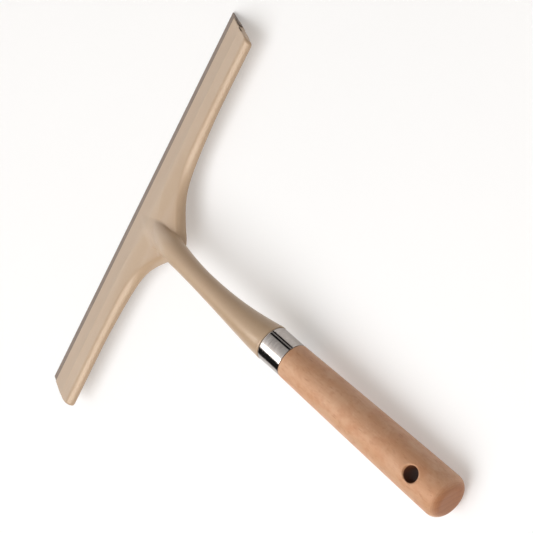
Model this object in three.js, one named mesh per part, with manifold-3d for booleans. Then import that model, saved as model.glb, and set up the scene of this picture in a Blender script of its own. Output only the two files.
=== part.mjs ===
// Window cleaning squeegee: moulded head with neck, rubber blade in a T-slot, chrome ferrule, beech handle.
// Units are millimetres, +Z is up.
//
// Two frames are used. The tool frame has the handle's axis along Y (the handle points to -Y) and the blade's
// long edge along X. The finished tool is then tipped so that it lies on a table: the blade's edge and the
// underside of the handle's butt both touch z = 0.
import * as THREE from "three";
import { mergeVertices } from "three/addons/utils/BufferGeometryUtils.js";
import Module from "manifold-3d";

const wasm = await Module();
wasm.setup();

// ---------------------------------------------------------------- driving dimensions
const BLADE_LENGTH = 250; // rubber, along X
const HEAD_WIDTH = 249.2; // plastic, a hair shorter than the rubber
const PLATE_SLOPE = THREE.MathUtils.degToRad(27.8); // the plate rises from the blade to the neck
const HANDLE_AXIS_Z = 28.88; // height of the handle's axis over the tool frame's origin

// plate section, in the plate's own directions: u runs back from the blade, w is square to the plate
const LIP_TIP_U = -0.4; // front edge of the rubber
const HINGE_U = 5.4; // where the free rubber bends
const HINGE_W = -0.85; // mid plane of the rubber
const MOUTH_U = 6.3; // front edge of the plastic
const CREASE_U = 20.4; // soft crease between the front bevel and the top face
const PLATE_BACK_U = 34.8; // back wall of the wings
const ROUND_U = 31.4; // where the rounding of the back edge starts
const BEND_FROM_Y = 26; // behind this line the plate's slope fades towards the neck
const BEND_RATE = 0.0085;
const DISH = 2; // the middle of the plate's top is dished this much behind the crease
const THICKER = 0.8; // the plate gets deeper where it joins the neck

// back wall of the plate over half the width: |x|, u of the wall
const WALL = [
  [0, 61], [5, 59.3], [8, 56.8], [10, 54.6], [13, 51.6], [16, 48.7], [19, 46.1], [23, 43.2], [27, 40.8], [32, 38.7],
  [38, 37.0], [45, 35.9], [54, 35.2], [68, PLATE_BACK_U], [BLADE_LENGTH / 2, PLATE_BACK_U],
];

// neck: y, height of its centre, radius
const NECK = [
  [-22, 9.4, 2.9], [-30, 13.4, 4.6], [-40, 18.6, 6.2], [-50, 22.3, 7.0], [-57, 24.0, 6.9], [-65, 25.6, 6.5],
  [-80, 28.14, 6.16], [-100, 30.24, 6.69], [-113, 30.9, 7.5], [-125, 30.87, 8.59], [-136, 30.1, 9.85],
  [-143.1, 29.05, 10.8], [-143.9, HANDLE_AXIS_Z + 0.05, 11.0], [-145.5, HANDLE_AXIS_Z, 11.0],
];
const COLLAR_Y = -145.5; // rear face of the neck's collar

// joint between neck and handle
const SPIGOT_R = 9.6, SPIGOT_END_Y = -154.6;
const TENON_FRONT_Y = -154.9;
const FERRULE = { y0: -145.8, y1: -162.6, inner: 9.9, outer: 10.95 };
const STUD = { y0: -126.5, y1: -182, r: 3.0 };
const STUD_BORE_R = 3.3;

// handle
const SHOULDER_Y = -162.9;
const BUTT_Y = -294;
const HANDLE = [[-163.3, 10.8], [-185, 11.3], [-215, 12.0], [-245, 12.65], [-270, 13.15], [-287.8, 13.41]];
const BUTT_ROUND = 6.2;
const HOLE_R = 4.7, HOLE_Y = -271.2;
const HOLE_ROLL = THREE.MathUtils.degToRad(11.2); // the handle is screwed on, so its hole is not quite square to the head

// resting: the tool tips by this angle onto its butt
const REST_TIP = THREE.MathUtils.degToRad(3.352);

// ---------------------------------------------------------------- helpers
function signedVolume(g) {
  const p = g.attributes.position, i = g.index;
  const a = new THREE.Vector3(), b = new THREE.Vector3(), c = new THREE.Vector3();
  let v = 0;
  for (let k = 0; k < i.count; k += 3) {
    a.fromBufferAttribute(p, i.getX(k));
    b.fromBufferAttribute(p, i.getX(k + 1));
    c.fromBufferAttribute(p, i.getX(k + 2));
    v += a.dot(b.cross(c)) / 6;
  }
  return v;
}

// one closed, outward facing surface with shared vertices
function closed(geometry) {
  const g = geometry.clone();
  g.deleteAttribute("normal");
  g.deleteAttribute("uv");
  const m = mergeVertices(g, 1e-4);
  if (signedVolume(m) < 0) {
    const i = m.index;
    for (let k = 0; k < i.count; k += 3) {
      const t = i.getX(k + 1);
      i.setX(k + 1, i.getX(k + 2));
      i.setX(k + 2, t);
    }
  }
  return m;
}

function solid(geometry) {
  const g = closed(geometry);
  return new wasm.Manifold(
    new wasm.Mesh({
      numProp: 3,
      vertProperties: new Float32Array(g.attributes.position.array),
      triVerts: new Uint32Array(g.index.array),
    }),
  );
}

function geometryOf(manifold) {
  const m = manifold.getMesh();
  const g = new THREE.BufferGeometry();
  g.setAttribute("position", new THREE.BufferAttribute(new Float32Array(m.vertProperties), 3));
  g.setIndex(new THREE.BufferAttribute(new Uint32Array(m.triVerts), 1));
  g.computeVertexNormals();
  return g;
}

function curveOf(rows, column) {
  const sorted = [...rows].sort((a, b) => a[0] - b[0]);
  return new THREE.CubicInterpolant(sorted.map((r) => r[0]), sorted.map((r) => r[column]), 1, new Float32Array(1));
}

const smooth = (a, b, x) => {
  const t = THREE.MathUtils.clamp((x - a) / (b - a), 0, 1);
  return t * t * (3 - 2 * t);
};

// plate directions to the tool frame
const CU = Math.cos(PLATE_SLOPE), SU = Math.sin(PLATE_SLOPE);
const plateY = (u, w) => -CU * u + SU * w;
const plateZ = (u, w) => SU * u + CU * w;

// turned piece about the handle's axis from [radius, y] pairs
function turned(points, segments) {
  const g = new THREE.LatheGeometry(points.map(([r, y]) => new THREE.Vector2(r, y)), segments);
  g.translate(0, 0, HANDLE_AXIS_Z);
  return g;
}

function rod(radius, y0, y1, segments) {
  const g = new THREE.CylinderGeometry(radius, radius, Math.abs(y1 - y0), segments);
  g.translate(0, (y0 + y1) / 2, HANDLE_AXIS_Z);
  return g;
}

function extrudedAlongX(points, x0, x1) {
  const shape = new THREE.Shape(points.map(([u, w]) => new THREE.Vector2(u, w)));
  const g = new THREE.ExtrudeGeometry(shape, { depth: 1, steps: 1, bevelEnabled: false });
  const p = g.attributes.position;
  for (let k = 0; k < p.count; k++) {
    const u = p.getX(k), w = p.getY(k), t = p.getZ(k);
    p.setXYZ(k, x0 + (x1 - x0) * t, plateY(u, w), plateZ(u, w));
  }
  return g;
}

// ---------------------------------------------------------------- head: plate with T-slot, neck, collar, spigot
function plate() {
  const top = [[MOUTH_U, 0.85], [6.8, 1.2], [12, 1.36], [17, 1.52], [CREASE_U, 1.6], [23.4, 1.52], [26.2, 1.43], [28.9, 1.34], [ROUND_U, 1.24]];
  const back = [[32.4, 1.05], [33.1, 0.65], [33.6, 0.1], [34.0, -0.6], [34.5, -1.5], [PLATE_BACK_U, -2.2], [34.2, -2.8], [33.2, -3.1]];
  const bottom = [[28.9, -3.1], [26.4, -3.1], [23.4, -3.1], [CREASE_U, -3.1], [18.2, -3.1], [17.2, -3.6], [7.4, -3.6], [MOUTH_U, -3.2]];
  const slot = [[MOUTH_U, -1.95], [11.4, -1.95], [11.8, -2.55], [15.8, -2.55], [15.8, 0.55], [11.8, 0.55], [11.4, 0.25], [MOUTH_U, 0.25]];
  const outline = [...top, ...back, ...bottom, ...slot];
  const shape = new THREE.Shape(outline.map(([u, w]) => new THREE.Vector2(u, w)));
  const STEPS = 44;
  const g = new THREE.ExtrudeGeometry(shape, { depth: 1, steps: STEPS, bevelEnabled: false });
  const p = g.attributes.position;
  const wall = curveOf(WALL, 1);
  for (let k = 0; k < p.count; k++) {
    let u = p.getX(k), w = p.getY(k);
    // stations crowd towards the middle, where the outline curves
    const s = 2 * p.getZ(k) - 1;
    const x = (HEAD_WIDTH / 2) * Math.sign(s) * (0.36 * Math.abs(s) + 0.64 * Math.abs(s) ** 2.6);
    const shift = wall.evaluate(Math.min(Math.abs(x), HEAD_WIDTH / 2))[0] - PLATE_BACK_U;
    const bottomSide = w <= -1.6 && u > 18.4, topSide = w > 1.1;
    if (u > CREASE_U) u += shift * THREE.MathUtils.clamp((u - CREASE_U) / (ROUND_U - CREASE_U), 0, 1);
    if (bottomSide) w -= THICKER * smooth(36, 50, u);
    // the crease fades out towards the two ends
    if (topSide && u > 12.5) w -= (w - 1.2) * 0.7 * smooth(90, 121, Math.abs(x));
    const y = plateY(u, w), behind = Math.max(0, -y - BEND_FROM_Y);
    const dish = DISH * (1 - smooth(34, 84, Math.abs(x))) * smooth(19, 33, -y);
    p.setXYZ(k, x, y, plateZ(u, w) - BEND_RATE * behind * behind - (u > 17 ? dish : 0));
  }
  return solid(g);
}

function neck() {
  const centre = curveOf(NECK, 1), radius = curveOf(NECK, 2);
  const H = 34;
  const g = new THREE.CylinderGeometry(1, 1, 1, 24, H);
  const p = g.attributes.position;
  // even stations, then the collar's small lip
  const ys = [];
  for (let i = 0; i <= H - 3; i++) ys.push(-22 + ((-143.9 + 22) * i) / (H - 3));
  ys.push(-144.3, -144.9, COLLAR_Y);
  for (let k = 0; k < p.count; k++) {
    const i = Math.round((0.5 - p.getY(k)) * H), y = ys[i];
    const c = i > H - 3 ? HANDLE_AXIS_Z : centre.evaluate(y)[0];
    const r = i > H - 3 ? 11.1 : Math.min(radius.evaluate(y)[0], 11.08);
    p.setXYZ(k, p.getX(k) * r, y, c + p.getZ(k) * r);
  }
  return solid(g);
}

function head() {
  return plate()
    .add(neck())
    .add(solid(rod(SPIGOT_R, COLLAR_Y + 1, SPIGOT_END_Y, 24)))
    .subtract(solid(rod(STUD_BORE_R, STUD.y0 + 0.6, SPIGOT_END_Y - 2, 16)));
}

// ---------------------------------------------------------------- rubber blade
const LIP_T = 0.8, TIP_T = 0.5; // half thickness at the bend and at the edge
function bladeLip() {
  const points = [[LIP_TIP_U, HINGE_W - TIP_T], [LIP_TIP_U, HINGE_W + TIP_T], [HINGE_U, HINGE_W + LIP_T]];
  for (let i = 1; i < 8; i++) {
    const a = Math.PI / 2 - (Math.PI * i) / 8;
    points.push([HINGE_U + LIP_T * Math.cos(a), HINGE_W + LIP_T * Math.sin(a)]);
  }
  points.push([HINGE_U, HINGE_W - LIP_T]);
  return extrudedAlongX(points, -BLADE_LENGTH / 2, BLADE_LENGTH / 2);
}

function bladeRoot() {
  // a neck in the slot's mouth and a T-shaped bead behind it
  const points = [[6.55, -1.6], [6.55, -0.1], [11.9, -0.1], [12.2, 0.2], [15.0, 0.2], [15.4, -0.2], [15.4, -1.8], [15.0, -2.2], [12.2, -2.2], [11.9, -1.6]];
  return extrudedAlongX(points, -BLADE_LENGTH / 2, BLADE_LENGTH / 2);
}

// ---------------------------------------------------------------- ferrule, stud, handle
function ferrule() {
  const { y0, y1, inner, outer } = FERRULE;
  return turned([[inner, y0], [outer - 0.35, y0], [outer, y0 - 0.35], [outer, (y0 + y1) / 2], [outer - 0.1, y1 + 0.35], [outer - 0.45, y1], [inner, y1], [inner, y0]], 40);
}

function stud() {
  // threaded at both ends, plain waist, point in the wood
  const points = [[0, STUD.y0 - 0.4], [2.2, STUD.y0 - 0.4]];
  const thread = (from, to, pitch) => {
    for (let y = from; y > to + pitch * 0.6; y -= pitch) points.push([STUD.r, y], [STUD.r, y - pitch * 0.25], [2.35, y - pitch * 0.62]);
  };
  thread(STUD.y0 - 1.2, -149.5, 1.5);
  points.push([2.9, -150.2], [2.9, -157]);
  thread(-158, -177, 2.2);
  points.push([1.2, STUD.y1 + 1.6], [0, STUD.y1]);
  return turned(points, 12);
}

function handle() {
  const swell = curveOf(HANDLE, 1);
  const points = [[0, STUD.y1 - 1.4], [STUD_BORE_R * 0.9, STUD.y1 + 0.2], [STUD_BORE_R, STUD.y1 + 1.5], [STUD_BORE_R, TENON_FRONT_Y], [SPIGOT_R - 0.4, TENON_FRONT_Y], [SPIGOT_R, TENON_FRONT_Y - 0.4], [SPIGOT_R, SHOULDER_Y], [10.45, SHOULDER_Y]];
  for (const y of [-163.3, -178, -193, -208, -223, -238, -253, -266, -278, BUTT_Y + BUTT_ROUND]) points.push([swell.evaluate(y)[0], y]);
  const rEnd = HANDLE[HANDLE.length - 1][1];
  for (let i = 1; i <= 6; i++) {
    const a = (Math.PI / 2) * (i / 6);
    points.push([rEnd - BUTT_ROUND * (1 - Math.cos(a)), BUTT_Y + BUTT_ROUND * (1 - Math.sin(a))]);
  }
  points.push([0, BUTT_Y]);
  let body = solid(turned(points, 40));
  const across = (g) => {
    g.rotateX(Math.PI / 2); // along Z
    g.rotateY(HOLE_ROLL);
    g.translate(0, HOLE_Y, HANDLE_AXIS_Z);
    return solid(g);
  };
  body = body.subtract(across(new THREE.CylinderGeometry(HOLE_R, HOLE_R, 40, 24)));
  for (const side of [1, -1]) {
    const cone = new THREE.CylinderGeometry(side > 0 ? 6.6 : HOLE_R - 0.6, side > 0 ? HOLE_R - 0.6 : 6.6, 2.5, 24);
    cone.translate(0, side * 13.1, 0);
    body = body.subtract(across(cone));
  }
  return body;
}

// ---------------------------------------------------------------- scene graph
const paint = (colour, roughness, metalness) => new THREE.MeshStandardMaterial({ color: new THREE.Color(colour), roughness, metalness });
const PLASTIC = paint(0xc8b199, 0.42, 0);
const RUBBER = paint(0x3b302a, 0.75, 0);
const CHROME = paint(0xd8d4cf, 0.16, 1);
const BEECH = paint(0xc99b78, 0.55, 0);
const STEEL = paint(0x9a9a98, 0.35, 1);

const tool = new THREE.Group();
tool.rotation.x = REST_TIP;
function node(name, geometry, material) {
  const mesh = new THREE.Mesh(geometry, material);
  mesh.name = name;
  tool.add(mesh);
  return mesh;
}
node("head_with_neck", geometryOf(head()), PLASTIC);
node("rubber_blade_lip", closed(bladeLip()), RUBBER);
node("rubber_blade_root", closed(bladeRoot()), RUBBER);
node("ferrule", closed(ferrule()), CHROME);
node("joining_stud", closed(stud()), STEEL);
node("wooden_handle", geometryOf(handle()), BEECH);

// the origin is the middle of the tool's footprint, on the table
const squeegee = new THREE.Group();
squeegee.add(tool);
squeegee.updateMatrixWorld(true);
const box = new THREE.Box3().setFromObject(squeegee, true);
tool.position.set(0, -(box.min.y + box.max.y) / 2, -box.min.z);
squeegee.updateMatrixWorld(true);

export default squeegee;
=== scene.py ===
"""Looks for the window cleaning squeegee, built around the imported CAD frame.

Shapes are made in the tool's own frame, in millimetres: the handle's axis is parallel to Y and points to -Y,
the blade is along X. to_row() turns them into the row frame, where the tool lies tipped on its butt, in metres.
"""

import math

import bpy
import numpy as np
from mathutils import Matrix, Vector


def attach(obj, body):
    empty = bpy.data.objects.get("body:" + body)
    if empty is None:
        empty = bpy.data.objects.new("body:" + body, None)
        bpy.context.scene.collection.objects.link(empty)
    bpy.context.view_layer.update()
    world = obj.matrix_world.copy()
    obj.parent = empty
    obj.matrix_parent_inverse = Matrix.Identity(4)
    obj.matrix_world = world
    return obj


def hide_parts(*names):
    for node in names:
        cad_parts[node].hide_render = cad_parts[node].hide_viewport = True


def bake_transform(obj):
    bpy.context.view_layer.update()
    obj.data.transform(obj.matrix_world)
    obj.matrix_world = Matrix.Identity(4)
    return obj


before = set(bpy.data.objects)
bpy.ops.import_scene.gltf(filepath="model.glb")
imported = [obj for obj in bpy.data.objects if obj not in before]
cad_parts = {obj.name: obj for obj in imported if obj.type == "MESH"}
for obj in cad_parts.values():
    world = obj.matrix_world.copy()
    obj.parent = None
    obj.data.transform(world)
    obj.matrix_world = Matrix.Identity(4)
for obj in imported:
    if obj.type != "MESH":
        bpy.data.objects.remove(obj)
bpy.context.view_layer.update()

# ------------------------------------------------------------------ the tool frame
TIP = math.radians(3.352)
PLACE = (0.0, 147.69395853, 1.39450219)
AXIS_Z = 28.88
SLOPE = math.radians(27.8)
CU, SU = math.cos(SLOPE), math.sin(SLOPE)


def to_row(p, point=True):
    p = np.asarray(p, float)
    c, s = math.cos(TIP), math.sin(TIP)
    out = np.empty_like(p)
    out[..., 0] = p[..., 0]
    out[..., 1] = c * p[..., 1] - s * p[..., 2]
    out[..., 2] = s * p[..., 1] + c * p[..., 2]
    if point:
        out = (out + np.array(PLACE)) / 1000.0
    return out


def plate_point(u, w, x=0.0):
    return np.stack(
        np.broadcast_arrays(
            np.asarray(x, float),
            -CU * np.asarray(u) + SU * np.asarray(w),
            SU * np.asarray(u) + CU * np.asarray(w),
        ),
        -1,
    )


# ------------------------------------------------------------------ small mathematics
def smooth(a, b, x):
    t = np.clip((x - a) / (b - a), 0, 1)
    return t * t * (3 - 2 * t)


def smin(a, b, k):
    h = np.clip(0.5 + 0.5 * (b - a) / k, 0, 1)
    return b + (a - b) * h - k * h * (1 - h)


def smax(a, b, k):
    return -smin(-a, -b, k)


def curve(rows, column, soften=True):
    """A smooth curve through the rows, sampled finely, as a function."""
    rows = sorted(rows, key=lambda r: r[0])
    x = np.array([r[0] for r in rows], float)
    y = np.array([r[column] for r in rows], float)
    h = np.diff(x)
    d = np.diff(y) / h
    m = np.empty(len(x))
    m[0], m[-1] = d[0], d[-1]
    m[1:-1] = (d[:-1] * h[1:] + d[1:] * h[:-1]) / (h[1:] + h[:-1])
    xs = np.linspace(x[0], x[-1], 3001)
    i = np.clip(np.searchsorted(x, xs) - 1, 0, len(x) - 2)
    t = (xs - x[i]) / h[i]
    ys = (
        (2 * t**3 - 3 * t**2 + 1) * y[i]
        + (t**3 - 2 * t**2 + t) * h[i] * m[i]
        + (-2 * t**3 + 3 * t**2) * y[i + 1]
        + (t**3 - t**2) * h[i] * m[i + 1]
    )
    # a few passes of averaging over about 3 mm take out the changes of curvature at the rows
    width = max(1, int(round(1.5 / (xs[1] - xs[0])))) if soften else 0
    for _ in range(3 if width else 0):
        line = np.concatenate([2 * ys[0] - ys[width:0:-1], ys, 2 * ys[-1] - ys[-2 : -width - 2 : -1]])
        ys = np.convolve(line, np.ones(2 * width + 1) / (2 * width + 1), "valid")
    return lambda v: np.interp(v, xs, ys)


def rounded(points, steps=5):
    """An outline from (a, b, radius) corners, each rounded by its own radius."""
    out = []
    n = len(points)
    for i in range(n):
        p = np.array(points[i][:2], float)
        r = points[i][2] if len(points[i]) > 2 else 0
        if r <= 0:
            out.append(p)
            continue
        a = np.array(points[i - 1][:2], float) - p
        b = np.array(points[(i + 1) % n][:2], float) - p
        la, lb = np.linalg.norm(a), np.linalg.norm(b)
        a, b = a / la, b / lb
        angle = math.acos(max(-1, min(1, float(a @ b))))
        cut = min(r / math.tan(angle / 2), 0.48 * la, 0.48 * lb)
        for k in range(steps + 1):
            t = k / steps
            out.append(p + a * cut * (1 - t) ** 2 + b * cut * t**2)
    return np.array(out)


def distance_table(outline, lo, hi, step):
    """Signed distance to a closed outline on a grid, as a function with smooth lookup."""
    a = np.arange(lo[0], hi[0] + step, step)
    b = np.arange(lo[1], hi[1] + step, step)
    A, B = np.meshgrid(a, b, indexing="ij")
    best = np.full(A.shape, 1e9)
    inside = np.zeros(A.shape, bool)
    p, q = outline, np.roll(outline, -1, 0)
    for (x0, y0), (x1, y1) in zip(p, q):
        dx, dy = x1 - x0, y1 - y0
        length = dx * dx + dy * dy
        if length < 1e-12:
            continue
        t = np.clip(((A - x0) * dx + (B - y0) * dy) / length, 0, 1)
        best = np.minimum(best, (A - x0 - t * dx) ** 2 + (B - y0 - t * dy) ** 2)
        if y0 != y1:
            crosses = (y0 > B) != (y1 > B)
            inside ^= crosses & (A < (B - y0) / (y1 - y0) * dx + x0)
    table = np.sqrt(best) * np.where(inside, -1, 1)

    def look(u, w):
        fu = np.clip((u - a[0]) / step, 0, len(a) - 1.001)
        fw = np.clip((w - b[0]) / step, 0, len(b) - 1.001)
        i, j = fu.astype(np.int32), fw.astype(np.int32)
        s, t = fu - i, fw - j
        d = (
            table[i, j] * (1 - s) * (1 - t)
            + table[i + 1, j] * s * (1 - t)
            + table[i, j + 1] * (1 - s) * t
            + table[i + 1, j + 1] * s * t
        )
        out_u = np.maximum(np.maximum(a[0] - u, u - a[-1]), 0)
        out_w = np.maximum(np.maximum(b[0] - w, w - b[-1]), 0)
        return d + np.hypot(out_u, out_w)

    return look


# ------------------------------------------------------------------ meshes from distance functions
def surface(field, xs, ys, zs, relax=2):
    """A quad mesh of the surface field = 0, from a grid of cells, each with one vertex moved onto the surface."""
    F = np.empty((len(xs), len(ys), len(zs)), np.float32)
    Y, Z = np.meshgrid(ys, zs, indexing="ij")
    for i, x in enumerate(xs):
        F[i] = field(np.full(Y.shape, x), Y, Z)
    F[(F > -1e-7) & (F < 1e-7)] = 1e-7
    inside = F < 0
    count = np.zeros(tuple(n - 1 for n in F.shape), np.uint8)
    for a in (0, 1):
        for b in (0, 1):
            for c in (0, 1):
                count += inside[
                    a : F.shape[0] - 1 + a,
                    b : F.shape[1] - 1 + b,
                    c : F.shape[2] - 1 + c,
                ]
    cells = np.argwhere((count > 0) & (count < 8))
    number = np.full(count.shape, -1, np.int32)
    number[tuple(cells.T)] = np.arange(len(cells))
    total = np.zeros((len(cells), 3))
    hits = np.zeros(len(cells))
    grid = [np.asarray(xs, float), np.asarray(ys, float), np.asarray(zs, float)]
    for axis in range(3):
        others = [k for k in range(3) if k != axis]
        for a in (0, 1):
            for b in (0, 1):
                p = cells.copy()
                p[:, others[0]] += a
                p[:, others[1]] += b
                q = p.copy()
                q[:, axis] += 1
                f0, f1 = F[tuple(p.T)], F[tuple(q.T)]
                hit = (f0 < 0) != (f1 < 0)
                t = np.where(hit, f0 / np.where(hit, f0 - f1, 1), 0)
                point = np.stack([grid[k][p[:, k]] for k in range(3)], 1)
                point[:, axis] += t * (grid[axis][q[:, axis]] - grid[axis][p[:, axis]])
                total += point * hit[:, None]
                hits += hit
    P = total / hits[:, None]
    quads = []
    for axis in range(3):
        o0, o1 = [k for k in range(3) if k != axis]
        first = [slice(None)] * 3
        second = [slice(None)] * 3
        first[axis], second[axis] = slice(0, -1), slice(1, None)
        change = inside[tuple(first)] != inside[tuple(second)]
        edges = np.argwhere(change)
        ok = (edges[:, o0] > 0) & (edges[:, o1] > 0)
        ok &= (edges[:, o0] < F.shape[o0] - 1) & (edges[:, o1] < F.shape[o1] - 1)
        edges = edges[ok]
        corner = []
        for da, db in ((-1, -1), (0, -1), (0, 0), (-1, 0)):
            c = edges.copy()
            c[:, o0] += da
            c[:, o1] += db
            corner.append(number[tuple(c.T)])
        quad = np.stack(corner, 1)
        starts_inside = inside[tuple(edges.T)]
        flip = starts_inside if axis == 1 else ~starts_inside
        quad[flip] = quad[flip][:, ::-1]
        quads.append(quad)
    quads = np.concatenate(quads)

    def on_surface(P, times):
        h = 0.03
        for _ in range(times):
            f = field(P[:, 0], P[:, 1], P[:, 2])
            g = np.stack(
                [
                    field(P[:, 0] + h, P[:, 1], P[:, 2])
                    - field(P[:, 0] - h, P[:, 1], P[:, 2]),
                    field(P[:, 0], P[:, 1] + h, P[:, 2])
                    - field(P[:, 0], P[:, 1] - h, P[:, 2]),
                    field(P[:, 0], P[:, 1], P[:, 2] + h)
                    - field(P[:, 0], P[:, 1], P[:, 2] - h),
                ],
                1,
            ) / (2 * h)
            size = np.maximum((g**2).sum(1), 0.05)
            move = g * (f / size)[:, None]
            far = np.linalg.norm(move, axis=1)
            move *= np.minimum(1, 0.25 / np.maximum(far, 1e-9))[:, None]
            P = P - move
        return P

    edge = np.concatenate(
        [quads[:, [0, 1]], quads[:, [1, 2]], quads[:, [2, 3]], quads[:, [3, 0]]]
    )
    edge = np.unique(np.sort(edge, 1), axis=0)
    n = len(P)
    degree = np.bincount(edge.ravel(), minlength=n)
    P = on_surface(P, 2)
    for _ in range(relax):
        mean = np.stack(
            [
                np.bincount(edge[:, 0], P[edge[:, 1], k], n)
                + np.bincount(edge[:, 1], P[edge[:, 0], k], n)
                for k in range(3)
            ],
            1,
        ) / np.maximum(degree, 1)[:, None]
        P = on_surface(P + 0.5 * (mean - P), 2)
    h = 0.11
    N = np.stack(
        [
            field(P[:, 0] + h, P[:, 1], P[:, 2]) - field(P[:, 0] - h, P[:, 1], P[:, 2]),
            field(P[:, 0], P[:, 1] + h, P[:, 2]) - field(P[:, 0], P[:, 1] - h, P[:, 2]),
            field(P[:, 0], P[:, 1], P[:, 2] + h) - field(P[:, 0], P[:, 1], P[:, 2] - h),
        ],
        1,
    )
    N /= np.maximum(np.linalg.norm(N, axis=1), 1e-9)[:, None]
    return P, quads, N


def shade_by_field(ob, normals):
    """Shading normals taken from the distance field, where the mesh isn't near a sharp edge."""
    mesh = ob.data
    flat = np.empty(len(mesh.vertices) * 3, np.float32)
    mesh.vertex_normals.foreach_get("vector", flat)
    own = flat.reshape(-1, 3).astype(float)
    want = to_row(normals, False)
    off = (own * want).sum(1) < 0.80
    want[off] = own[off]
    mesh.normals_split_custom_set_from_vertices(want.tolist())


def mesh_object(name, points, faces, sharp=None):
    """points in the tool frame in millimetres."""
    mesh = bpy.data.meshes.new(name)
    rows = to_row(points)
    mesh.from_pydata(rows.tolist(), [], [list(map(int, f)) for f in faces])
    mesh.validate()
    mesh.update()
    mesh.polygons.foreach_set("use_smooth", [True] * len(mesh.polygons))
    if sharp is not None:
        mesh.set_sharp_from_angle(angle=math.radians(sharp))
    ob = bpy.data.objects.new(name, mesh)
    bpy.context.scene.collection.objects.link(ob)
    return ob


def lathe(name, profile, segments, sharp=35, thread=None):
    """A turned piece about the handle's axis. profile is a closed (radius, y) outline, or an open one that starts and ends on the axis."""
    profile = np.asarray(profile, float)
    closed = not (profile[0, 0] < 1e-6 and profile[-1, 0] < 1e-6)
    body = profile if closed else profile[1:-1]
    angle = np.arange(segments) / segments * 2 * math.pi
    n = len(body)
    r = np.repeat(body[:, 0][:, None], segments, 1)
    y = np.repeat(body[:, 1][:, None], segments, 1)
    if thread is not None:
        r = thread(r, y, angle[None, :])
    pts = np.stack([r * np.sin(angle), y, AXIS_Z + r * np.cos(angle)], -1).reshape(-1, 3)
    faces = []
    for i in range(n if closed else n - 1):
        a, b = i * segments, ((i + 1) % n) * segments
        for k in range(segments):
            l = (k + 1) % segments
            faces.append((a + k, b + k, b + l, a + l))
    if not closed:
        pts = np.vstack([pts, [[0, profile[0, 1], AXIS_Z], [0, profile[-1, 1], AXIS_Z]]])
        first, last = len(pts) - 2, len(pts) - 1
        for k in range(segments):
            l = (k + 1) % segments
            faces.append((first, k, l))
            a = (n - 1) * segments
            faces.append((last, a + l, a + k))
    # outward facing
    p = np.array(pts)
    f = np.array([q[:3] for q in faces] + [(q[0], q[2], q[3]) for q in faces if len(q) == 4])
    volume = np.einsum("ij,ij->i", p[f[:, 0]], np.cross(p[f[:, 1]], p[f[:, 2]])).sum()
    if volume < 0:
        faces = [q[::-1] for q in faces]
    return mesh_object(name, pts, faces, sharp)


# ------------------------------------------------------------------ head with neck
BLADE_HALF, HEAD_HALF = 125.0, 124.6
END_SLANT = 0.24  # the two ends lean in towards the underside
CREASE_U, BACK_U, ROUND_U = 20.4, 34.8, 31.4
WALL = [
    [0, 61], [5, 59.3], [8, 56.8], [10, 54.6], [13, 51.6], [16, 48.7], [19, 46.1], [23, 43.2], [27, 40.8], [32, 38.7],
    [38, 37.0], [45, 35.9], [54, 35.2], [68, BACK_U], [125, BACK_U],
]
NECK = [
    [-4, -6.0, 0.5], [-15, 3.6, 1.3], [-22, 9.3, 2.9], [-30, 13.4, 4.6], [-40, 18.6, 6.2], [-50, 22.3, 7.0], [-57, 24.0, 6.9], [-65, 25.6, 6.5],
    [-80, 28.14, 6.16], [-100, 30.24, 6.69], [-113, 30.9, 7.5], [-125, 30.87, 8.59], [-136, 30.05, 9.9], [-143.1, 29.05, 10.75],
]
SECTION = [
    (6.3, 0.85, 0.2), (6.8, 0.92, 0.3), (12, 1.23, 0), (17, 1.62, 0), (CREASE_U, 1.91, 1.1), (23.4, 1.72, 0), (26.2, 1.58, 0),
    *[(29.1 + 8.4 * t * (1 - t) + 5.35 * t * t, 1.44 - 0.24 * t * (1 - t) - 3.24 * t * t, 0) for t in np.linspace(0, 1, 19)], (34.4, -3.1, 0.8),
    (18.2, -3.1, 0.8), (17.2, -3.6, 0.5), (7.4, -3.6, 0.4), (6.3, -3.2, 0.3),
    (6.3, -1.95, 0.15), (11.4, -1.95, 0.1), (11.8, -2.55, 0.15), (15.8, -2.55, 0.2), (15.8, 0.55, 0.2), (11.8, 0.55, 0.15), (11.4, 0.25, 0.1), (6.3, 0.25, 0.15),
]
wall_of = curve(WALL, 1)
neck_z, neck_r = curve(NECK, 1), curve(NECK, 2)
section = distance_table(rounded(SECTION, 14), (3.0, -6.5), (38.5, 4.5), 0.06)
TOP_OVER = ([6.8, 12, 17, 20.4, 23.4, 26.2, 28.9, 31.4], [0, 0.16, 0.36, 0.52, 0.4, 0.26, 0.12, 0])


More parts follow.
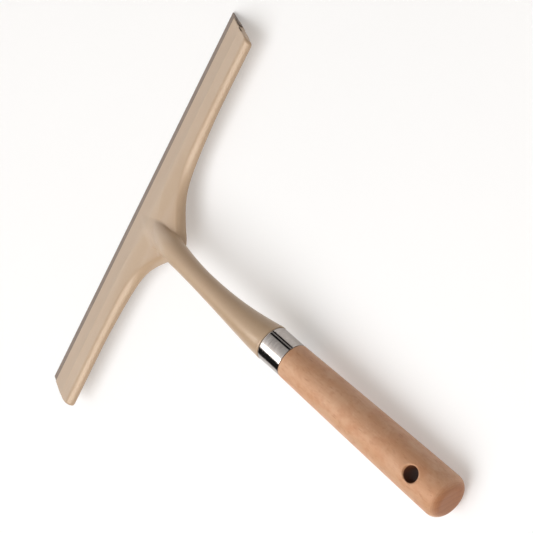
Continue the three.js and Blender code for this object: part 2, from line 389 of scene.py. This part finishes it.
def plate_field(x, y, z):
    ax = np.abs(x)
    behind = np.maximum(0, -y - 26)
    dish = 2.0 * (1 - smooth(34, 84, ax)) * smooth(19, 33, -y)
    zz = z + 0.0085 * behind**2 + dish
    up, w = -CU * y + SU * zz, SU * y + CU * zz
    shift = wall_of(ax) - BACK_U
    u = np.where(
        up <= CREASE_U,
        up,
        np.where(
            up < ROUND_U + shift,
            CREASE_U + (up - CREASE_U) * (ROUND_U - CREASE_U) / (ROUND_U - CREASE_U + shift),
            up - shift,
        ),
    )
    # the crease bows back a little where the rib starts
    bow = 3.6 * np.exp(-((x / 24.0) ** 2)) * smooth(-0.2, 0.8, w)
    crease = CREASE_U + bow
    u = np.where(
        u < 16.6,
        u,
        np.where(
            u < crease,
            16.6 + (u - 16.6) * (CREASE_U - 16.6) / (crease - 16.6),
            np.where(u < 30.5, CREASE_U + (u - crease) * (30.5 - CREASE_U) / (30.5 - crease), u),
        ),
    )
    # deeper next to the neck, and no crease at the two ends
    w = w + 0.8 * smooth(36, 50, up) * smooth(0.5, 3.0, -w)
    w = w + 0.7 * smooth(92, 122, ax) * np.interp(u, *TOP_OVER) * smooth(-0.2, 0.6, w)
    # the back corners are rounded more than the rest of the ends
    soft = 0.45 + 1.7 * smooth(26, 33.5, u)
    return smax(section(u, w), (ax - HEAD_HALF + END_SLANT * (1.2 - w)) / math.hypot(1, END_SLANT), soft)


def head_field(x, y, z):
    x, y, z = np.broadcast_arrays(x, y, z)
    shape = x.shape
    x, y, z = x.ravel().astype(float), y.ravel().astype(float), z.ravel().astype(float)
    d = np.full(x.shape, 50.0)
    near_plate = y > -70
    if near_plate.any():
        d[near_plate] = plate_field(x[near_plate], y[near_plate], z[near_plate])
    nn = (np.abs(x) < 26) & (y < -3)
    if nn.any():
        xx, yy, zz = x[nn], y[nn], z[nn]
        cz, r = neck_z(yy), neck_r(yy)
        slope = (neck_z(yy - 0.5) - neck_z(yy + 0.5)) / 1.0
        tube = (np.hypot(xx, zz - cz) - r) / np.sqrt(1 + slope**2)
        # the collar's small lip, then its flat rear face
        rho = np.hypot(xx, zz - AXIS_Z)
        collar = smax(rho - np.interp(-yy, [142.7, 143.7, 144.4, 145.1, 145.5], [10.5, 10.8, 10.93, 10.98, 10.96]), yy + 142.7, 0.5)
        tube = smax(tube, -(yy + 144.7), 0.3)
        tube = smin(tube, collar, 0.5)
        tube = smax(tube, -(yy + 145.5), 0.22)
        spigot = smax(rho - 9.6, -(yy + 154.6), 0.3)
        spigot = np.maximum(spigot, yy + 140)
        # the rib starts inside the plate and doesn't come out underneath it
        ww = SU * yy + CU * zz
        tube = smax(tube, -(ww + 2.6) - 12.0 * smooth(24, 40, -yy) - 80.0 * smooth(36, 80, -yy), 0.4)
        # the fillet between the rib and the plate is wider on one side
        blend = 1.0 + (4.6 + 1.6 * smooth(-50, -36, yy)) * (1 - smooth(-6, 2.5, xx)) + 1.2 * (1 - smooth(-62, -44, yy))
        blend = 0.5 + (blend - 0.5) * np.maximum(smooth(-2.6, 0.0, ww), smooth(34, 46, -yy))
        d[nn] = smin(d[nn], tube, blend)
        d[nn] = np.minimum(d[nn], spigot)
        bore = np.maximum(rho - 3.3, yy + 125.9)
        d[nn] = smax(d[nn], -bore, 0.2)
    return d.reshape(shape)


def stations(*spans):
    """Grid lines from (start, end, step) spans."""
    out = []
    for a, b, step in spans:
        n = max(1, int(round((b - a) / step)))
        out += [a + (b - a) * i / n for i in range(n)]
    out.append(spans[-1][1])
    return np.array(out)


def build_head():
    half = stations((0, 14, 0.5), (14, 62, 0.62), (62, 120.5, 1.5), (120.5, 124.6, 0.32))
    xs = np.concatenate([-half[:0:-1], half]) + 0.0137
    ys = stations((-155.4, -141.6, 0.4), (-141.6, -66, 0.62), (-66, -3, 0.41)) + 0.0071
    zs = stations((-2.0, 43.0, 0.41)) + 0.0093
    P, quads, normals = surface(head_field, xs, ys, zs)
    ob = mesh_object("head_moulding", P, quads)
    shade_by_field(ob, normals)
    return ob


# ------------------------------------------------------------------ rubber blade
def build_rubber():
    hw = -0.85
    corners = [
        (-0.4, hw - 0.5, 0.14), (-0.4, hw + 0.5, 0.14), (5.4, hw + 0.8, 1.0), (6.5, hw + 0.75, 0.3), (11.9, -0.1, 0.12), (12.2, 0.2, 0.12), (15.0, 0.2, 0.2),
        (15.4, -0.2, 0.2), (15.4, -1.8, 0.2), (15.0, -2.2, 0.2), (12.2, -2.2, 0.12), (11.9, -1.6, 0.12), (6.5, hw - 0.75, 0.3), (5.4, hw - 0.8, 1.0),
    ]
    rough = rounded(corners, 4)
    # an even outline with points every quarter of a millimetre
    outline = []
    for p, q in zip(rough, np.roll(rough, -1, 0)):
        n = max(1, int(math.ceil(np.linalg.norm(q - p) / 0.3)))
        outline += [p + (q - p) * i / n for i in range(n)]
    outline = np.array(outline)
    n = len(outline)
    xs = np.concatenate([[-BLADE_HALF], np.linspace(-BLADE_HALF + 0.12, BLADE_HALF - 0.12, 126), [BLADE_HALF]])
    rings = []
    middle = outline.mean(0)
    for i, x in enumerate(xs):
        inset = 0.08 if i in (0, len(xs) - 1) else 0.0
        direction = outline - np.array([0, hw])
        shape = outline.copy()
        if inset:
            tangent = np.roll(outline, -1, 0) - np.roll(outline, 1, 0)
            normal = np.stack([-tangent[:, 1], tangent[:, 0]], 1)
            normal /= np.linalg.norm(normal, axis=1)[:, None]
            area = 0.5 * np.sum(outline[:, 0] * np.roll(outline[:, 1], -1) - np.roll(outline[:, 0], -1) * outline[:, 1])
            shape = outline + normal * (inset if area > 0 else -inset)
        rings.append(plate_point(shape[:, 0], shape[:, 1], x * (1 - END_SLANT * (0.2 - shape[:, 1]) / BLADE_HALF)))
    pts = np.concatenate(rings)
    faces = []
    for i in range(len(xs) - 1):
        a, b = i * n, (i + 1) * n
        for k in range(n):
            l = (k + 1) % n
            faces.append((a + k, b + k, b + l, a + l))
    faces.append(tuple(range(n)))
    faces.append(tuple(range(len(pts) - 1, len(pts) - 1 - n, -1)))
    area = 0.5 * np.sum(outline[:, 0] * np.roll(outline[:, 1], -1) - np.roll(outline[:, 0], -1) * outline[:, 1])
    p = pts
    f = np.array([q[:3] for q in faces[:-2]] + [(q[0], q[2], q[3]) for q in faces[:-2]])
    volume = np.einsum("ij,ij->i", p[f[:, 0]] - p.mean(0), np.cross(p[f[:, 1]] - p.mean(0), p[f[:, 2]] - p.mean(0))).sum()
    if volume < 0:
        faces = [q[::-1] for q in faces]
    return mesh_object("rubber_blade", pts, faces, 40)


# ------------------------------------------------------------------ handle
HANDLE = [[-163.3, 10.8], [-185, 11.3], [-215, 12.0], [-245, 12.65], [-270, 13.15], [-287.8, 13.41]]
HOLE_Y, HOLE_R, HOLE_ROLL = -271.2, 4.7, math.radians(11.2)


def build_handle():
    swell = curve(HANDLE, 1)
    outer = [(float(y), float(swell(y)), 0) for y in np.linspace(-164.2, -287.8, 40)]
    half = [
        (-182.8, 0.0, 0), (-182.0, 2.9, 0.3), (-180.5, 3.3, 0), (-154.9, 3.3, 0.2), (-154.9, 9.6, 0.5), (-162.9, 9.6, 0.1), (-162.9, 10.78, 0.42),
        *outer,
    ]
    r_end = 13.41
    for i in range(1, 9):
        a = math.pi / 2 * i / 8
        half.append((-294 + 6.2 * (1 - math.sin(a)), r_end - 6.2 * (1 - math.cos(a)), 0))
    half.append((-294.0, 0.0, 0))
    full = half + [(y, -r, c) for y, r, c in reversed(half[1:-1])]
    profile = distance_table(rounded(full), (-297, -16.5), (-152, 16.5), 0.1)
    hx, hz = math.sin(HOLE_ROLL), math.cos(HOLE_ROLL)

    def field(x, y, z):
        x, y, z = np.broadcast_arrays(x, y, z)
        zz = z - AXIS_Z
        body = profile(y, np.hypot(x, zz))
        along = x * hx + zz * hz
        across = np.hypot(x * hz - zz * hx, y - HOLE_Y)
        hole = across - HOLE_R
        cone = (across - HOLE_R - np.maximum(np.abs(along) - 11.75, 0) * 0.82) * 0.77
        hole = np.minimum(hole, cone)
        return smax(body, -hole, 0.55)

    xs = stations((-14.2, 14.2, 0.47)) + 0.0113
    ys = stations((-294.8, -288, 0.45), (-288, -281, 0.6), (-281, -261, 0.4), (-261, -165, 0.9), (-165, -154, 0.4)) + 0.0171
    zs = stations((AXIS_Z - 14.2, AXIS_Z + 14.2, 0.47)) + 0.0093
    P, quads, normals = surface(field, xs, ys, zs)
    ob = mesh_object("handle_beech", P, quads)
    shade_by_field(ob, normals)
    return ob


# ------------------------------------------------------------------ ferrule and stud
def build_ferrule():
    y0, y1, inner, outer = -145.8, -162.6, 9.9, 10.78
    rough = rounded(
        [
            (inner, y0, 0.12), (outer - 0.03, y0, 0.42), (outer + 0.0, y0 - 1.3, 0), (outer, (y0 + y1) / 2, 0),
            (outer - 0.04, y1 + 1.3, 0), (outer - 0.1, y1, 0.42), (inner, y1, 0.12), (inner, (y0 + y1) / 2, 0),
        ],
        6,
    )
    return lathe("ferrule_tube", rough, 160, 50)


def build_stud():
    y0, y1 = -126.9, -182.0
    ys = np.linspace(y0, y1, 221)
    base = np.interp(-ys, [126.9, 127.6, 128.4, 149.4, 150.2, 157.0, 158.0, 176.0, 181.4, 182.0], [1.9, 2.7, 3.0, 3.0, 2.9, 2.9, 3.0, 3.0, 1.2, 0.15])
    profile = [(0, y0)] + [(float(r), float(y)) for r, y in zip(base, ys)] + [(0, y1)]

    def thread(r, y, angle):
        pitch = np.where(y > -153.5, 1.5, 2.2)
        depth = np.where(y > -153.5, 0.45, 0.6)
        phase = (y / pitch - angle / (2 * math.pi)) % 1.0
        cut = np.abs(phase - 0.5) * 2
        on = smooth(127.6, 128.6, -y) * (1 - smooth(149.0, 150.0, -y)) + smooth(157.4, 158.6, -y)
        return np.maximum(r - depth * np.clip(cut * 1.5 - 0.25, 0, 1) * on, 0.12)

    return lathe("threaded_stud", profile, 48, 50, thread)


# ------------------------------------------------------------------ materials
def srgb(r, g, b):
    def f(c):
        c /= 255
        return c / 12.92 if c <= 0.04045 else ((c + 0.055) / 1.055) ** 2.4

    return (f(r), f(g), f(b), 1.0)


class Nodes:
    """A small helper to write node trees."""

    def __init__(self, name):
        self.mat = bpy.data.materials.new(name)
        self.mat.use_nodes = True
        self.t = self.mat.node_tree
        self.t.nodes.clear()
        self.out = self.t.nodes.new("ShaderNodeOutputMaterial")
        self.bsdf = self.t.nodes.new("ShaderNodeBsdfPrincipled")
        self.t.links.new(self.bsdf.outputs["BSDF"], self.out.inputs["Surface"])
        self.coord = self.t.nodes.new("ShaderNodeTexCoord")

    def link(self, a, b):
        self.t.links.new(a, b)

    def mapped(self, scale, offset=(0, 0, 0), rotate=(0, 0, 0)):
        m = self.t.nodes.new("ShaderNodeMapping")
        m.inputs["Scale"].default_value = scale
        m.inputs["Location"].default_value = offset
        m.inputs["Rotation"].default_value = rotate
        self.link(self.coord.outputs["Object"], m.inputs["Vector"])
        return m.outputs["Vector"]

    def noise(self, vector, scale, detail=3.0, roughness=0.55, distortion=0.0):
        n = self.t.nodes.new("ShaderNodeTexNoise")
        n.inputs["Scale"].default_value = scale
        n.inputs["Detail"].default_value = detail
        n.inputs["Roughness"].default_value = roughness
        n.inputs["Distortion"].default_value = distortion
        self.link(vector, n.inputs["Vector"])
        return n.outputs["Fac"]

    def voronoi(self, vector, scale, randomness=1.0, feature="F1"):
        n = self.t.nodes.new("ShaderNodeTexVoronoi")
        n.feature = feature
        n.inputs["Scale"].default_value = scale
        n.inputs["Randomness"].default_value = randomness
        self.link(vector, n.inputs["Vector"])
        return n.outputs["Distance"]

    def ramp(self, value, stops, kind="LINEAR"):
        r = self.t.nodes.new("ShaderNodeValToRGB")
        r.color_ramp.interpolation = kind
        e = r.color_ramp.elements
        while len(e) > 1:
            e.remove(e[-1])
        e[0].position, e[0].color = stops[0]
        for position, colour in stops[1:]:
            x = e.new(position)
            x.color = colour
        self.link(value, r.inputs["Fac"])
        return r.outputs["Color"]

    def math(self, op, a, b=None, clamp=False):
        m = self.t.nodes.new("ShaderNodeMath")
        m.operation = op
        m.use_clamp = clamp
        for i, v in enumerate((a, b)):
            if v is None:
                continue
            if isinstance(v, (int, float)):
                m.inputs[i].default_value = v
            else:
                self.link(v, m.inputs[i])
        return m.outputs["Value"]

    def spread(self, value, lo, hi, to_lo, to_hi):
        m = self.t.nodes.new("ShaderNodeMapRange")
        for key, v in (("From Min", lo), ("From Max", hi), ("To Min", to_lo), ("To Max", to_hi)):
            m.inputs[key].default_value = v
        self.link(value, m.inputs["Value"])
        return m.outputs["Result"]

    def mix(self, fac, a, b, mode="MIX"):
        m = self.t.nodes.new("ShaderNodeMix")
        m.data_type = "RGBA"
        m.blend_type = mode
        for key, v in ((0, fac), (6, a), (7, b)):
            if isinstance(v, (int, float)):
                m.inputs[key].default_value = v
            elif isinstance(v, tuple):
                m.inputs[key].default_value = v
            else:
                self.link(v, m.inputs[key])
        return m.outputs[2]

    def bump(self, height, strength, distance, normal=None):
        b = self.t.nodes.new("ShaderNodeBump")
        b.inputs["Strength"].default_value = strength
        b.inputs["Distance"].default_value = distance
        self.link(height, b.inputs["Height"])
        if normal is not None:
            self.link(normal, b.inputs["Normal"])
        return b.outputs["Normal"]


def plastic():
    n = Nodes("plastic_beige_satin")
    b = n.bsdf
    cloud = n.noise(n.mapped((1, 1, 1)), 14, 3, 0.5)
    flow = n.noise(n.mapped((0.35, 1, 1)), 60, 4, 0.6)
    speck = n.noise(n.mapped((1, 1, 1)), 900, 2, 0.5)
    base = n.ramp(cloud, [(0.3, srgb(176, 153, 128)), (0.7, srgb(183, 159, 134))])
    base = n.mix(n.spread(flow, 0.35, 0.65, 0.0, 0.22), base, srgb(173, 145, 120))
    base = n.mix(n.spread(speck, 0.35, 0.65, 0.0, 0.1), base, srgb(164, 137, 112))
    n.link(base, b.inputs["Base Color"])
    n.link(n.spread(flow, 0.3, 0.7, 0.29, 0.35), b.inputs["Roughness"])
    b.inputs["Specular IOR Level"].default_value = 0.4
    b.inputs["IOR"].default_value = 1.49
    b.inputs["Subsurface Weight"].default_value = 0.04
    b.inputs["Subsurface Radius"].default_value = (1.0, 0.55, 0.3)
    b.inputs["Subsurface Scale"].default_value = 0.0012
    fine = n.noise(n.mapped((1, 1, 1)), 1300, 2, 0.6)
    wave = n.noise(n.mapped((1, 1, 1)), 90, 2, 0.5)
    normal = n.bump(fine, 0.05, 0.0001)
    n.link(n.bump(wave, 0.02, 0.0004, normal), b.inputs["Normal"])
    return n.mat


def rubber():
    n = Nodes("rubber_dark_brown")
    b = n.bsdf
    streak = n.noise(n.mapped((0.05, 1, 1)), 900, 3, 0.6)
    cloud = n.noise(n.mapped((1, 1, 1)), 70, 3, 0.6)
    base = n.ramp(streak, [(0.3, srgb(90, 75, 65)), (0.7, srgb(117, 101, 90))])
    base = n.mix(n.spread(cloud, 0.4, 0.7, 0.0, 0.35), base, srgb(138, 122, 111))
    n.link(base, b.inputs["Base Color"])
    n.link(n.spread(streak, 0.3, 0.7, 0.5, 0.66), b.inputs["Roughness"])
    b.inputs["IOR"].default_value = 1.52
    fine = n.noise(n.mapped((0.15, 1, 1)), 1800, 3, 0.6)
    n.link(n.bump(fine, 0.25, 0.00012), b.inputs["Normal"])
    return n.mat


def chrome():
    n = Nodes("chrome_brushed")
    b = n.bsdf
    b.inputs["Metallic"].default_value = 1.0
    # fine turning marks run round the tube, so they change fast along its axis
    lines = n.noise(n.mapped((0.04, 1, 0.04)), 5200, 3, 0.7)
    haze = n.noise(n.mapped((1, 1, 1)), 160, 3, 0.6)
    base = n.ramp(lines, [(0.3, srgb(140, 131, 126)), (0.7, srgb(192, 186, 181))])
    base = n.mix(n.spread(haze, 0.45, 0.75, 0.0, 0.3), base, srgb(160, 151, 144))
    n.link(base, b.inputs["Base Color"])
    n.link(n.spread(haze, 0.3, 0.7, 0.07, 0.12), b.inputs["Roughness"])
    n.link(n.bump(lines, 0.3, 0.00005), b.inputs["Normal"])
    return n.mat


def steel():
    n = Nodes("steel_stud")
    b = n.bsdf
    b.inputs["Metallic"].default_value = 1.0
    lines = n.noise(n.mapped((1, 0.2, 1)), 2400, 3, 0.6)
    base = n.ramp(lines, [(0.3, srgb(138, 138, 140)), (0.7, srgb(176, 176, 176))])
    n.link(base, b.inputs["Base Color"])
    n.link(n.spread(lines, 0.3, 0.7, 0.28, 0.42), b.inputs["Roughness"])
    n.link(n.bump(lines, 0.2, 0.0001), b.inputs["Normal"])
    return n.mat


def beech():
    n = Nodes("beech_oiled")
    b = n.bsdf
    # the grain runs along the handle; the growth rings are wide arcs across it
    long_noise = n.noise(n.mapped((1, 0.05, 1)), 70, 4, 0.55, 0.4)
    sep = n.t.nodes.new("ShaderNodeSeparateXYZ")
    n.link(n.mapped((1, 1, 1), (0.034, 0, 0.012)), sep.inputs["Vector"])
    wob = n.noise(n.mapped((1, 0.12, 1)), 26, 3, 0.5)
    radius = n.math("SQRT", n.math("ADD", n.math("MULTIPLY", sep.outputs["X"], sep.outputs["X"]), n.math("MULTIPLY", sep.outputs["Z"], sep.outputs["Z"])))
    radius = n.math("ADD", radius, n.math("MULTIPLY", wob, 0.012))
    rings = n.math("FRACT", n.math("MULTIPLY", radius, 240.0))
    rings = n.ramp(rings, [(0.0, (0.15, 0.15, 0.15, 1)), (0.65, (0.35, 0.35, 0.35, 1)), (0.93, (1, 1, 1, 1)), (1.0, (0.15, 0.15, 0.15, 1))])
    base = n.ramp(long_noise, [(0.25, srgb(182, 138, 105)), (0.5, srgb(190, 147, 115)), (0.78, srgb(197, 157, 127))])
    base = n.mix(n.math("MULTIPLY", rings, 0.16), base, srgb(172, 120, 87))
    patch = n.noise(n.mapped((1, 0.35, 1)), 22, 3, 0.5)
    base = n.mix(n.spread(patch, 0.4, 0.7, 0.0, 0.5), base, srgb(174, 125, 92))
    # soft mottling, and slanting pale streaks across it
    mottle = n.noise(n.mapped((1, 0.6, 1), (0.3, 0.1, 0.2), (0, 0, math.radians(25))), 85, 4, 0.65, 0.6)
    base = n.mix(n.spread(mottle, 0.42, 0.68, 0.0, 0.42), base, srgb(205, 172, 146))
    smudge = n.noise(n.mapped((1, 0.7, 1), (0.7, 0.4, 0.6)), 150, 3, 0.6)
    base = n.mix(n.spread(smudge, 0.5, 0.72, 0.0, 0.4), base, srgb(166, 108, 72))
    # the small dark rays of beech: short spindles along the grain
    rays = n.voronoi(n.mapped((1, 0.16, 1), (0.01, 0.02, 0.03)), 760, 1.0)
    ray_mask = n.spread(rays, 0.10, 0.26, 1.0, 0.0)
    where = n.noise(n.mapped((1, 0.4, 1)), 190, 2, 0.6)
    ray_mask = n.math("MULTIPLY", ray_mask, n.spread(where, 0.42, 0.62, 0.0, 1.0), True)
    base = n.mix(n.math("MULTIPLY", ray_mask, 0.5), base, srgb(138, 86, 56))
    speck = n.noise(n.mapped((1, 0.5, 1), (0.2, 0.5, 0.1)), 520, 3, 0.65)
    base = n.mix(n.spread(speck, 0.54, 0.74, 0.0, 0.36), base, srgb(156, 102, 68))
    pores = n.noise(n.mapped((1, 0.04, 1)), 1500, 3, 0.7)
    base = n.mix(n.spread(pores, 0.5, 0.75, 0.0, 0.25), base, srgb(160, 106, 72))
    # the end grain takes the oil and looks darker; the hanging hole's wall gets painted shade, dark like its shadowed
    # inside
    geo = n.t.nodes.new("ShaderNodeNewGeometry")
    local = n.t.nodes.new("ShaderNodeSeparateXYZ")
    n.link(n.coord.outputs["Object"], local.inputs["Vector"])
    face = n.t.nodes.new("ShaderNodeSeparateXYZ")
    n.link(geo.outputs["Normal"], face.inputs["Vector"])
    end = n.spread(n.math("MULTIPLY", face.outputs["Y"], -1.0), 0.55, 0.98, 0.0, 1.0)
    end_rings = n.mix(n.math("MULTIPLY", rings, 0.5), srgb(156, 97, 55), srgb(122, 70, 38))
    base = n.mix(n.math("MULTIPLY", end, 0.85, True), base, end_rings)
    hole_at = Vector(to_row(np.array([0.0, HOLE_Y, AXIS_Z])))
    hole_dir = Vector(to_row(np.array([math.sin(HOLE_ROLL), 0.0, math.cos(HOLE_ROLL)]), False))
    # painted shade: the hole's wall is darkened towards srgb(96, 56, 36), as if its inside lay in shadow
    hole = n.math("MULTIPLY", hole_shade_mask(n, hole_at, hole_dir), 0.92)
    base = n.mix(hole, base, srgb(96, 56, 36))
    n.link(base, b.inputs["Base Color"])
    n.link(n.spread(long_noise, 0.3, 0.7, 0.44, 0.56), b.inputs["Roughness"])
    b.inputs["IOR"].default_value = 1.47
    b.inputs["Subsurface Weight"].default_value = 0.15
    b.inputs["Subsurface Radius"].default_value = (1.0, 0.5, 0.25)
    b.inputs["Subsurface Scale"].default_value = 0.004
    height = n.math("ADD", n.math("MULTIPLY", pores, -1.0), n.math("MULTIPLY", ray_mask, -0.5))
    n.link(n.bump(height, 0.22, 0.00018), b.inputs["Normal"])
    return n.mat


def hole_shade_mask(n, at, direction):
    """1 on the hanging hole's wall, where the painted shade goes, from the distance to its axis."""
    sub = n.t.nodes.new("ShaderNodeVectorMath")
    sub.operation = "SUBTRACT"
    n.link(n.coord.outputs["Object"], sub.inputs[0])
    sub.inputs[1].default_value = at
    cross = n.t.nodes.new("ShaderNodeVectorMath")
    cross.operation = "CROSS_PRODUCT"
    n.link(sub.outputs["Vector"], cross.inputs[0])
    cross.inputs[1].default_value = direction
    length = n.t.nodes.new("ShaderNodeVectorMath")
    length.operation = "LENGTH"
    n.link(cross.outputs["Vector"], length.inputs[0])
    return n.spread(length.outputs["Value"], 0.00476, 0.00498, 1.0, 0.0)


def painted(ob, material):
    ob.data.materials.clear()
    ob.data.materials.append(material)
    return ob


# ------------------------------------------------------------------ pieces
head = painted(build_head(), plastic())
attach(head, "holder")
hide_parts("head_with_neck")

tube = painted(build_ferrule(), chrome())
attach(tube, "holder")
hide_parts("ferrule")

grip = painted(build_handle(), beech())
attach(grip, "holder")
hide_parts("wooden_handle")

stud = painted(build_stud(), steel())
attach(stud, "holder")
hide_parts("joining_stud")

strip = painted(build_rubber(), rubber())
bend_from = to_row(plate_point(6.2, -0.85))
bend_to = to_row(plate_point(4.5, -0.85))
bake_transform(strip)
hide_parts("rubber_blade_root", "rubber_blade_lip")

# ------------------------------------------------------------------ camera
CAM_AT = (953.66181, -1428.47974, 1934.13794)
CAM_AXES = (
    (0.41971632, -0.64061563, -0.64300064),
    (0.82883289, 0.55926251, -0.01617046),
    (0.3699652, -0.52615308, 0.76569491),
)
cam_data = bpy.data.cameras.new("camera")
cam_data.sensor_width = 36.0
cam_data.sensor_fit = "HORIZONTAL"
cam_data.lens = 4512.8916 / 533 * 36.0
cam_data.shift_x = -0.5 / 533
cam_data.shift_y = 0.5 / 533
cam_data.clip_start, cam_data.clip_end = 0.1, 30
cam = bpy.data.objects.new("camera", cam_data)
bpy.context.scene.collection.objects.link(cam)
axes = [Vector(to_row(np.array(a), False)) for a in CAM_AXES]
m = Matrix.Identity(4)
for k in range(3):
    for r in range(3):
        m[r][k] = axes[k][r]
place = to_row(np.array(CAM_AT))
for r in range(3):
    m[r][3] = place[r]
cam.matrix_world = m
bpy.context.scene.camera = cam

# ------------------------------------------------------------------ stage
floor_mesh = bpy.data.meshes.new("floor")
floor_mesh.from_pydata([(-6, -6, 0), (6, -6, 0), (6, 6, 0), (-6, 6, 0)], [], [(0, 1, 2, 3)])
floor = bpy.data.objects.new("floor", floor_mesh)
floor.location = (0, 0, -0.0002)
bpy.context.scene.collection.objects.link(floor)
fl = Nodes("floor_pale")
pale = fl.noise(fl.mapped((1, 1, 1)), 3, 2, 0.5)
fl.link(fl.ramp(pale, [(0.3, (0.675, 0.685, 0.7, 1)), (0.7, (0.695, 0.705, 0.72, 1))]), fl.bsdf.inputs["Base Color"])
fl.bsdf.inputs["Roughness"].default_value = 0.85
# painted light: the floor glows a little, which lifts the key light's shadow on it and lights the pieces from below
fl.bsdf.inputs["Emission Color"].default_value = (1.0, 1.0, 1.0, 1)
fl.bsdf.inputs["Emission Strength"].default_value = 0.3
fl.bsdf.inputs["Specular IOR Level"].default_value = 0.15
painted(floor, fl.mat)


def area(name, direction, distance, size, power, glossy=True, colour=(1, 1, 1)):
    data = bpy.data.lights.new(name, "AREA")
    data.shape = "RECTANGLE"
    data.size, data.size_y = size
    data.energy = power
    data.color = colour
    ob = bpy.data.objects.new(name, data)
    d = Vector(direction).normalized()
    ob.location = Vector((0, 0, 0.02)) + d * distance
    ob.rotation_euler = d.to_track_quat("Z", "Y").to_euler()
    bpy.context.scene.collection.objects.link(ob)
    ob.visible_glossy = glossy
    return ob


area("key", (-0.47, -0.24, 0.9), 1.8, (1.9, 1.9), 36, glossy=False, colour=(0.99, 0.995, 1.0))

world = bpy.data.worlds.new("studio")
bpy.context.scene.world = world
world.use_nodes = True
wt = world.node_tree
wt.nodes.clear()
w_out = wt.nodes.new("ShaderNodeOutputWorld")
ambient = wt.nodes.new("ShaderNodeBackground")
ambient.inputs["Color"].default_value = (1.0, 0.88, 0.75, 1)
ambient.inputs["Strength"].default_value = 0.36
seen = wt.nodes.new("ShaderNodeBackground")
seen.inputs["Strength"].default_value = 1.0
mixer = wt.nodes.new("ShaderNodeMixShader")
path = wt.nodes.new("ShaderNodeLightPath")
wt.links.new(path.outputs["Is Glossy Ray"], mixer.inputs[0])
wt.links.new(ambient.outputs[0], mixer.inputs[1])
wt.links.new(seen.outputs[0], mixer.inputs[2])
wt.links.new(mixer.outputs[0], w_out.inputs["Surface"])
# what glossy surfaces reflect: a softbox overhead, a dark side of the room, two thin dark stands
wc = wt.nodes.new("ShaderNodeTexCoord")
ws = wt.nodes.new("ShaderNodeSeparateXYZ")
wt.links.new(wc.outputs["Generated"], ws.inputs[0])
at = wt.nodes.new("ShaderNodeMath")
at.operation = "ARCTAN2"
wt.links.new(ws.outputs["Z"], at.inputs[0])
wt.links.new(ws.outputs["X"], at.inputs[1])
wr = wt.nodes.new("ShaderNodeMapRange")
wr.inputs["From Min"].default_value = -math.pi
wr.inputs["From Max"].default_value = math.pi
wt.links.new(at.outputs[0], wr.inputs["Value"])
ramp = wt.nodes.new("ShaderNodeValToRGB")
ramp.color_ramp.interpolation = "LINEAR"


def around(degrees):
    return (degrees + 180) / 360


stops = [
    (-30, 0.5), (-4, 0.45), (-3, 0.0), (10.0, 0.0), (11.5, 0.5), (16.5, 0.5), (18, 0.0), (29, 0.0), (31, 0.55), (50, 0.75),
    (72, 1.0), (84, 1.3), (95, 1.7), (113, 1.8), (120, 1.5), (129, 0.03), (168, 0.02), (179, 0.1),
]
e = ramp.color_ramp.elements
while len(e) > 1:
    e.remove(e[-1])
e[0].position, e[0].color = around(stops[0][0]), (stops[0][1],) * 3 + (1,)
for degrees, value in stops[1:]:
    x = e.new(around(degrees))
    x.color = (value, value, value, 1)
wt.links.new(wr.outputs["Result"], ramp.inputs["Fac"])
front = wt.nodes.new("ShaderNodeMapRange")
front.interpolation_type = "SMOOTHSTEP"
front.inputs["From Min"].default_value = 0.62
front.inputs["From Max"].default_value = 0.80
wt.links.new(ws.outputs["Y"], front.inputs["Value"])
window = wt.nodes.new("ShaderNodeMix")
window.data_type = "RGBA"
window.inputs[7].default_value = (2.5, 2.45, 2.36, 1)
wt.links.new(front.outputs["Result"], window.inputs[0])
wt.links.new(ramp.outputs["Color"], window.inputs[6])
# a long bright lamp overhead, which only the head's rounded rear edge and the tops of the round pieces mirror


def band(value, lo, lo_full, hi_full, hi):
    """1 between lo_full and hi_full, falling to 0 at lo and hi."""
    sides = []
    for edge, full in ((lo, lo_full), (hi, hi_full)):
        node = wt.nodes.new("ShaderNodeMapRange")
        node.interpolation_type = "SMOOTHSTEP"
        node.inputs["From Min"].default_value = min(edge, full)
        node.inputs["From Max"].default_value = max(edge, full)
        node.inputs["To Min"].default_value = 0.0 if edge < full else 1.0
        node.inputs["To Max"].default_value = 1.0 if edge < full else 0.0
        wt.links.new(value, node.inputs["Value"])
        sides.append(node.outputs["Result"])
    both = wt.nodes.new("ShaderNodeMath")
    both.operation = "MULTIPLY"
    wt.links.new(sides[0], both.inputs[0])
    wt.links.new(sides[1], both.inputs[1])
    return both.outputs[0]


along = band(ws.outputs["Y"], -0.60, -0.40, 0.42, 0.58)
across = band(wr.outputs["Result"], around(94), around(105), around(122), around(133))
lamp = wt.nodes.new("ShaderNodeMath")
lamp.operation = "MULTIPLY"
wt.links.new(along, lamp.inputs[0])
wt.links.new(across, lamp.inputs[1])
bright = wt.nodes.new("ShaderNodeMix")
bright.data_type = "RGBA"
bright.inputs[7].default_value = (9.0, 9.0, 8.9, 1)
wt.links.new(lamp.outputs[0], bright.inputs[0])
wt.links.new(window.outputs[2], bright.inputs[6])
wt.links.new(bright.outputs[2], seen.inputs["Color"])

scene = bpy.context.scene
scene.view_settings.view_transform = "Standard"
scene.view_settings.look = "None"
scene.view_settings.exposure = 0.0

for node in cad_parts.values():
    node.hide_render = True
